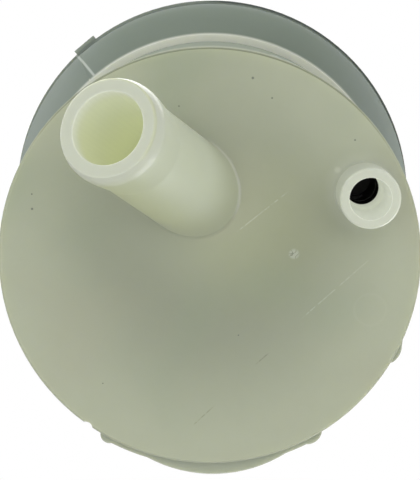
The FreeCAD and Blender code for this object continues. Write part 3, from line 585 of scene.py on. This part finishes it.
clothLook = {"colour": (0.66, 0.65, 0.52), "oil": (0.48, 0.46, 0.32), "stains": 90, "stained": (0.3, 0.75),
             "roughness": 0.45, "stainRougher": 0.12, "grain": 2600, "bump": 0.00002, "bumpStrength": 0.5}


def makeCloth():
    material, start, place = startMaterial("filterCloth")
    stain = place.grain(clothLook["stains"], 3.0).between(*clothLook["stained"])
    weave = place.grain(clothLook["grain"], 1.0)
    shader = start.node("ShaderNodeBsdfPrincipled", None, {
        "Base Color": stain.colour(clothLook["colour"], clothLook["oil"]),
        "Roughness": clothLook["roughness"] + clothLook["stainRougher"] * stain,
        "Normal": start.bump(weave, clothLook["bump"], clothLook["bumpStrength"]),
    })
    return finishMaterial(material, start, shader)


finishes = {
    "natural_nylon": makeNylon(),
    "filter_plastic": makePlastic("filter"),
    "white_plastic": makePlastic("white"),
    "cap_plastic": makePlastic("cap"),
    "rubber": makePlastic("rubber"),
    "mesh": makeCloth(),
    "spring_steel": makeSteel(),
}
slotOfNode = {part["node"]: part["material_slot"] for part in frame["record"]["subparts"]}


def dressNodes():
    for name, node in nodes.items():
        node.data.materials.clear()
        node.data.materials.append(finishes[slotOfNode[name]])
    print("materials on", len(nodes), "nodes")


def addPiece(name, mesh, slot, body):
    made = bpy.data.meshes.new(name)
    bmesh.ops.recalc_face_normals(mesh, faces=mesh.faces)
    mesh.to_mesh(made)
    mesh.free()
    made.polygons.foreach_set("use_smooth", [True] * len(made.polygons))
    made.materials.append(finishes[slot])
    piece = bpy.data.objects.new(name, made)
    bpy.context.scene.collection.objects.link(piece)
    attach(piece, body)
    return piece


# the springs, which shorten between a fixed end and the end that their valve pushes; here each only gets
# its own copy of its mesh
springs = {
    "vent_spring": {"joint": "vent_lift", "fixedEnd": 0.1395, "travel": 0.0015},
    "bypass_spring": {"joint": "bypass_drop", "fixedEnd": 0.0480, "travel": 0.0030},
}


def shortenSprings():
    for name, facts in springs.items():
        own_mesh(nodes[name])
    print("springs that shorten:", len(springs))


# the small bead of nylon that the hot plate left along the seam
weldBead = {"radius": 0.00032, "sides": 8, "steps": 240, "sunk": 0.00028,
            "waver": 0.00012, "acrossWaves": 260, "alongWaves": 190, "alongShift": Vector((3, 7, 1))}


def makeWeldBead():
    mesh = bmesh.new()
    section = bmesh.ops.create_circle(mesh, segments=weldBead["sides"], radius=weldBead["radius"])["verts"]
    upright = Matrix.Rotation(math.radians(90), 4, "X")
    place = Matrix.Translation((flangeRadius - weldBead["sunk"], 0, seamRise))
    bmesh.ops.transform(mesh, matrix=place @ upright, verts=section)
    bmesh.ops.spin(mesh, geom=mesh.edges[:], cent=(0, 0, 0), axis=(0, 0, 1), dvec=(0, 0, 0),
                   angle=math.radians(360), steps=weldBead["steps"], use_merge=True)
    for vertex in mesh.verts:
        outwards = Vector((vertex.co.x, vertex.co.y, 0)).normalized()
        waver = noise.noise(vertex.co * weldBead["acrossWaves"]) * weldBead["waver"]
        vertex.co += outwards * (waver - weldBead["waver"] * 0.5)
        spot = vertex.co * weldBead["alongWaves"] + weldBead["alongShift"]
        vertex.co.z += noise.noise(spot) * weldBead["waver"]
    addPiece("weld_bead", mesh, "natural_nylon", "tank")
    print("weld bead along the seam")


# the trimmed stub of the sprue on the disc
gateMark = {"radius": 0.00062, "height": 0.00016, "sides": 28, "rings": 3, "ringWidth": 0.24,
            "rough": 0.00010, "roughWaves": 4200}


def makeGateMark():
    centre = Vector((*discMarks["gate"], 0)) / 1000
    mesh = bmesh.new()
    bmesh.ops.create_circle(mesh, cap_ends=True, segments=gateMark["sides"], radius=gateMark["radius"])
    top = mesh.faces[:]
    for _ in range(gateMark["rings"]):
        bmesh.ops.inset_region(mesh, faces=top, thickness=gateMark["radius"] * gateMark["ringWidth"])
    bmesh.ops.subdivide_edges(mesh, edges=mesh.edges[:], cuts=1, use_grid_fill=True)
    for vertex in mesh.verts:
        reach = vertex.co.xy.length / gateMark["radius"]
        rise = gateMark["height"] * max(0.0, 1 - reach ** 3)
        rough = noise.noise(vertex.co * gateMark["roughWaves"]) * gateMark["rough"]
        vertex.co.z = -(rise + rough * max(0.0, 1 - reach))
    bmesh.ops.translate(mesh, verts=mesh.verts[:], vec=centre)
    addPiece("gate_mark", mesh, "natural_nylon", "tank")
    print("gate mark on the disc")


# cloth sleeves, woven of round threads
sleeves = {
    "filter_cloth": {"node": "filter_mesh", "around": 150, "thread": 0.00016},
    "strainer_cloth": {"node": "strainer_mesh", "around": 120, "thread": 0.00018},
}
sleeveInset = 0.0002    # from the solid sleeve's outside to the middle of the threads


def makeSleeve(name):
    facts = sleeves[name]
    low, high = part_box(facts["node"])
    radius = high.x - sleeveInset
    cell = 2 * math.pi * radius / facts["around"]
    rows = round((high.z - low.z) / cell)
    mesh = bmesh.new()
    bmesh.ops.create_circle(mesh, segments=facts["around"], radius=radius)
    bmesh.ops.translate(mesh, verts=mesh.verts[:], vec=(0, 0, low.z + facts["thread"]))
    rise = (high.z - low.z - 2 * facts["thread"]) / rows
    edges = mesh.edges[:]
    for _ in range(rows):
        made = bmesh.ops.extrude_edge_only(mesh, edges=edges)["geom"]
        edges = [item for item in made if isinstance(item, bmesh.types.BMEdge)]
        verts = [item for item in made if isinstance(item, bmesh.types.BMVert)]
        bmesh.ops.translate(mesh, verts=verts, vec=(0, 0, rise))
    bmesh.ops.wireframe(mesh, faces=mesh.faces[:], thickness=facts["thread"], use_boundary=True,
                        use_even_offset=True, use_replace=True)
    piece = addPiece(name, mesh, "mesh", "tank")
    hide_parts(facts["node"])
    print(name, "with", len(piece.data.polygons), "faces")


# light: soft all round, dimmer from the sides, with a key lamp beside the camera
light = {
    "ambient": 0.70,
    "horizon": 0.30,
    "dimUpTo": (0.10, 0.75),    # rise of the direction, from the horizon to straight up or down
    "tint": (1.0, 1.0, 0.985),
    "lamps": [
        # name, place, aim, width, power
        ("key", (0.24, -0.36, -1.05), (0, 0, 0.02), 1.1, 4.6),
        ("fill", (-0.60, 0.10, -0.95), (0, 0, 0.02), 1.0, 3.6),
        ("right", (1.05, -0.60, 0.05), (0, 0, 0.06), 0.7, 1.6),
        ("top", (0.25, -0.35, 1.25), (0, 0, 0.08), 0.9, 9.0),
        ("side", (-0.9, -0.9, 0.55), (0, 0, 0.06), 0.8, 8.0),
        ("back", (0.8, 0.9, 0.5), (0, 0, 0.06), 0.8, 8.0),
    ],
}


def makeLight():
    for name, place, aim, width, power in light["lamps"]:
        data = bpy.data.lights.new(name, "AREA")
        data.shape = "SQUARE"
        data.size = width
        data.energy = power
        lamp = bpy.data.objects.new(name, data)
        bpy.context.scene.collection.objects.link(lamp)
        way = Vector(aim) - Vector(place)
        lamp.matrix_world = Matrix.Translation(place) @ way.to_track_quat("-Z", "Y").to_matrix().to_4x4()
        lamp.visible_camera = False
    world = bpy.data.worlds.new("studio")
    world.use_nodes = True
    world.node_tree.nodes.clear()
    start = Wire(world.node_tree)
    seen = start.node("ShaderNodeLightPath", output="Is Camera Ray")
    seen = seen.most(start.node("ShaderNodeLightPath", output="Is Glossy Ray"))
    seen = seen.most(start.node("ShaderNodeLightPath", output="Is Transmission Ray"))
    rise = start.sum("ABSOLUTE", start.node("ShaderNodeTexCoord", output="Generated").part(2))
    dim = start.node("ShaderNodeBackground", None, {"Color": light["tint"], "Strength": light["horizon"]})
    full = start.node("ShaderNodeBackground", None, {"Color": light["tint"], "Strength": light["ambient"]})
    soft = start.node("ShaderNodeMixShader", None, {
        0: rise.between(*light["dimUpTo"]), 1: dim, 2: full})
    white = start.node("ShaderNodeBackground", None, {"Color": (1, 1, 1), "Strength": 1.0})
    both = start.node("ShaderNodeMixShader", None, {0: seen, 1: soft, 2: white})
    start.node("ShaderNodeOutputWorld", None, {"Surface": both})
    bpy.context.scene.world = world
    print("lamps and world")


# a pale floor far below, nearly white to the camera
floor = {"rise": -1.15, "radius": 1.6, "sides": 64, "colour": (0.82, 0.82, 0.82), "whitened": 0.75}


def makeFloor():
    material, start = startMaterial("paleFloor")[:2]
    pale = start.node("ShaderNodeBsdfDiffuse", None, {"Color": floor["colour"]})
    white = start.node("ShaderNodeEmission", None, {"Color": (1, 1, 1), "Strength": 1.0})
    seen = start.node("ShaderNodeLightPath", output="Is Camera Ray") * floor["whitened"]
    finishMaterial(material, start, start.node("ShaderNodeMixShader", None, {0: seen, 1: pale, 2: white}))
    mesh = bmesh.new()
    bmesh.ops.create_circle(mesh, cap_ends=True, segments=floor["sides"], radius=floor["radius"])
    bmesh.ops.translate(mesh, verts=mesh.verts[:], vec=(0, 0, floor["rise"]))
    data = bpy.data.meshes.new("paleFloor")
    mesh.to_mesh(data)
    mesh.free()
    data.materials.append(material)
    made = bpy.data.objects.new("paleFloor", data)
    bpy.context.scene.collection.objects.link(made)
    print("floor")


makeCamera()
dressNodes()
shortenSprings()
makeWeldBead()
makeGateMark()
for sleeve in sleeves:
    makeSleeve(sleeve)
makeLight()
makeFloor()
bpy.context.scene.view_settings.view_transform = "Standard"
